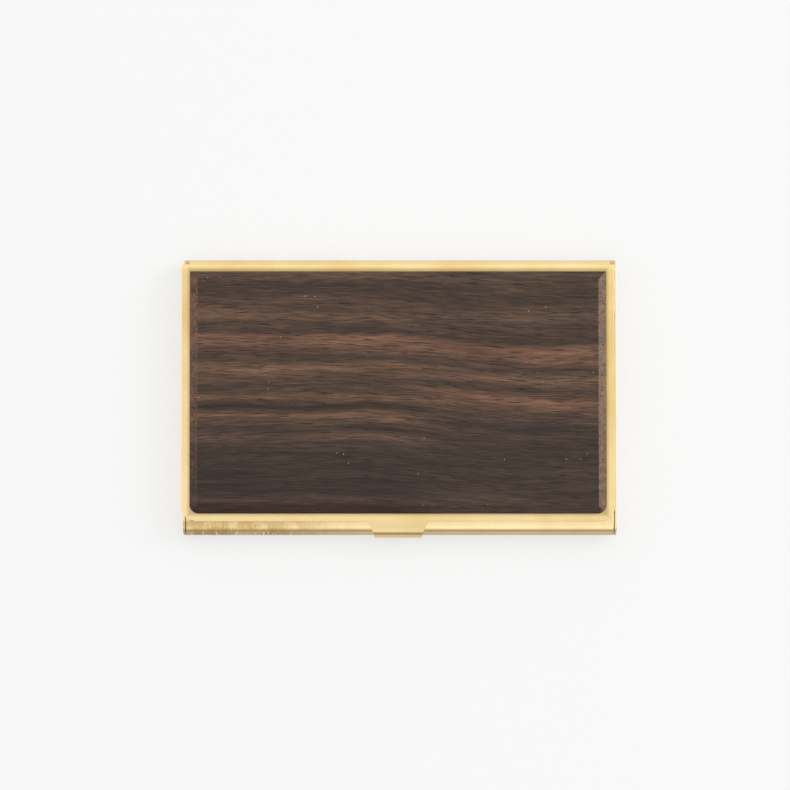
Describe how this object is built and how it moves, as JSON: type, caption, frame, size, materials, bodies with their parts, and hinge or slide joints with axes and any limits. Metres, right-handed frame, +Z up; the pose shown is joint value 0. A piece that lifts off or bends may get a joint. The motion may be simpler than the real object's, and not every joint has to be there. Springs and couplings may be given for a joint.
{
  "type": "business card case",
  "caption": "Slim hinged card case: folded brass base with half-round front and rear edges, flat brass lid with a bevelled dark wood panel and a thumb tab.",
  "frame": {"origin": "centre of the flat underside of the base", "axes": "+X across the case to the right seen from the front, +Y from the thumb tab towards the hinge, +Z up through the lid"},
  "size_m": [0.095, 0.061, 0.008],
  "materials": {
    "brass": "satin brushed, lightly tarnished",
    "ebony": "oiled striped ebony, grain along X",
    "spring_bronze": "rolled strip",
    "adhesive": "cured film"
  },
  "bodies": {
    "base": {"base_shell": "brass", "hinge_pin_left": "brass", "hinge_pin_right": "brass", "card_spring": "spring_bronze", "card_spring_rivets": "brass"},
    "lid": {"lid_plate": "brass", "wood_panel": "ebony", "panel_adhesive": "adhesive", "hinge_lug_left": "brass", "hinge_lug_right": "brass", "lug_rivets": "brass"}
  },
  "joints": [
    {"name": "lid_hinge", "type": "hinge", "parent": "base", "child": "lid", "pos_m": [0, 0.02745, 0.00275], "axis": [-1, 0, 0], "range_deg": [0, 105]}
  ]
}
